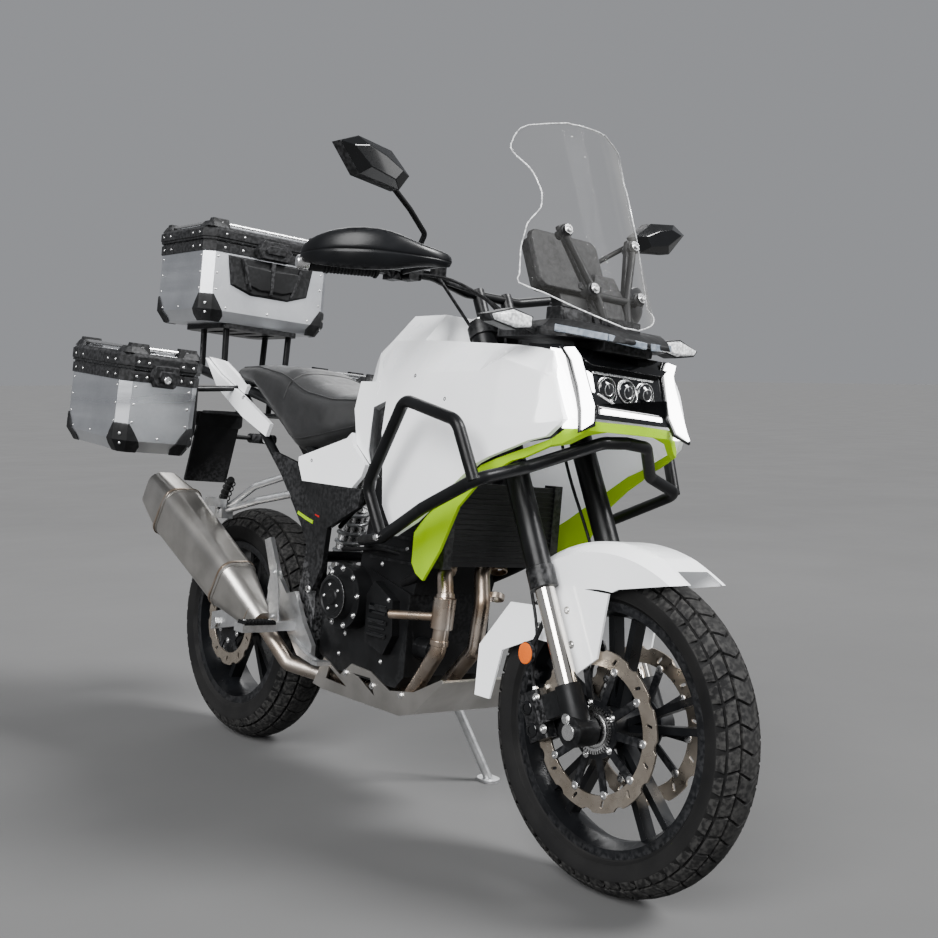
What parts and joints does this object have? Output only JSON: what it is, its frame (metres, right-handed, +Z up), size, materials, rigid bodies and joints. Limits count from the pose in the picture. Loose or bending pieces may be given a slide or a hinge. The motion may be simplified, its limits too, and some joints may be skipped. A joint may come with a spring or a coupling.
{
  "type": "adventure motorcycle",
  "caption": "Two-wheeled adventure touring motorcycle with crash bars, a tall clear screen and hard aluminium luggage, parked leaning on its side stand.",
  "frame": {"origin": "on the floor, at the centre of the whole parked motorcycle's outline seen from above", "axes": "+X to the rider's left, +Y to the rear, +Z up; the motorcycle leans 6.5 degrees towards +X"},
  "size_m": [1.0738, 2.1242, 1.5572],
  "materials": {
    "tyre_rubber": "matt moulded rubber",
    "satin_black_metal": "satin black powder coat",
    "disc_steel": "ground steel with a bronze tint",
    "chain_steel": "oiled steel",
    "brushed_aluminium": "brushed aluminium",
    "slider_chrome": "polished fork tube",
    "grip_rubber": "matt ribbed rubber",
    "white_bodywork": "gloss white paint",
    "matt_black_plastic": "grained matt black plastic",
    "engine_black": "matt black painted castings",
    "stainless_steel": "brushed stainless steel",
    "radiator_black": "matt black fins",
    "neon_yellow_plastic": "neon yellow-green plastic",
    "lamp_black": "gloss black lamp housing",
    "lamp_glass": "clear lens",
    "clear_screen": "clear polycarbonate",
    "signal_lens": "clear indicator lens",
    "seat_vinyl": "matt black vinyl",
    "case_aluminium": "brushed aluminium sheet"
  },
  "bodies": {
    "root": {"accent_panels": "neon_yellow_plastic", "cowl": "matt_black_plastic", "crash_bars": "satin_black_metal", "dash": "matt_black_plastic", "drive_chain": "chain_steel", "engine": "engine_black", "exhaust_headers": "stainless_steel", "foot_pegs": "brushed_aluminium", "headlight": "lamp_black", "lamps": "lamp_glass", "luggage_racks": "satin_black_metal", "main_frame": "satin_black_metal", "pannier_left": "case_aluminium", "pannier_right": "case_aluminium", "radiator": "radiator_black", "rear_axle": "brushed_aluminium", "rear_caliper": "satin_black_metal", "rear_fender": "matt_black_plastic", "rear_shock": "satin_black_metal", "screen_bracket": "matt_black_plastic", "seat": "seat_vinyl", "side_covers": "matt_black_plastic", "side_fairings": "white_bodywork", "side_panels": "white_bodywork", "silencer": "stainless_steel", "skid_plate": "brushed_aluminium", "stand_bracket": "satin_black_metal", "swingarm": "brushed_aluminium", "tank": "white_bodywork", "top_case": "case_aluminium", "turn_signals": "signal_lens", "windscreen": "clear_screen"},
    "front_wheel": {"front_tyre": "tyre_rubber", "front_rim": "satin_black_metal", "front_discs": "disc_steel"},
    "rear_wheel": {"rear_tyre": "tyre_rubber", "rear_rim": "satin_black_metal", "rear_disc": "disc_steel", "rear_sprocket": "disc_steel"},
    "steering": {"front_axle": "brushed_aluminium", "fork_feet": "satin_black_metal", "fork_sliders": "slider_chrome", "fork_tubes": "satin_black_metal", "triple_clamps": "satin_black_metal", "handlebar": "satin_black_metal", "grips": "grip_rubber", "front_calipers": "satin_black_metal", "front_fender": "white_bodywork", "mirrors": "matt_black_plastic", "handguards": "matt_black_plastic"},
    "stand": {"side_stand": "satin_black_metal"},
    "top_lid": {"top_case_lid": "case_aluminium"},
    "left_lid": {"pannier_lid_left": "case_aluminium"},
    "right_lid": {"pannier_lid_right": "case_aluminium"}
  },
  "joints": [
    {"name": "steering_head", "type": "hinge", "parent": "root", "child": "steering", "pos_m": [-0.02863, -0.34424, 1.00189], "axis": [0.1013, 0.4462, 0.8892], "range_deg": [-32, 32]},
    {"name": "front_wheel_axle", "type": "hinge", "parent": "steering", "child": "front_wheel", "pos_m": [-0.10538, -0.73255, 0.32828], "axis": [0.9936, 0, -0.1132], "continuous": true},
    {"name": "rear_wheel_axle", "type": "hinge", "parent": "root", "child": "rear_wheel", "pos_m": [-0.10616, 0.66745, 0.32144], "axis": [0.9936, 0, -0.1132], "continuous": true},
    {"name": "side_stand_pivot", "type": "hinge", "parent": "root", "child": "stand", "pos_m": [0.04391, -0.01255, 0.24283], "axis": [0.9329, -0.1371, 0.3331], "range_deg": [0, 106]},
    {"name": "top_case_hinge", "type": "hinge", "parent": "root", "child": "top_lid", "pos_m": [0.01453, 1.05745, 1.38072], "axis": [-0.9936, 0, 0.1132], "range_deg": [0, 95]},
    {"name": "left_pannier_hinge", "type": "hinge", "parent": "root", "child": "left_lid", "pos_m": [0.23143, 0.77837, 0.97], "axis": [-0.0079, -0.9976, -0.0693], "range_deg": [0, 80]},
    {"name": "right_pannier_hinge", "type": "hinge", "parent": "root", "child": "right_lid", "pos_m": [-0.2892, 0.77837, 1.02931], "axis": [0.0079, 0.9976, 0.0693], "range_deg": [0, 80]}
  ]
}
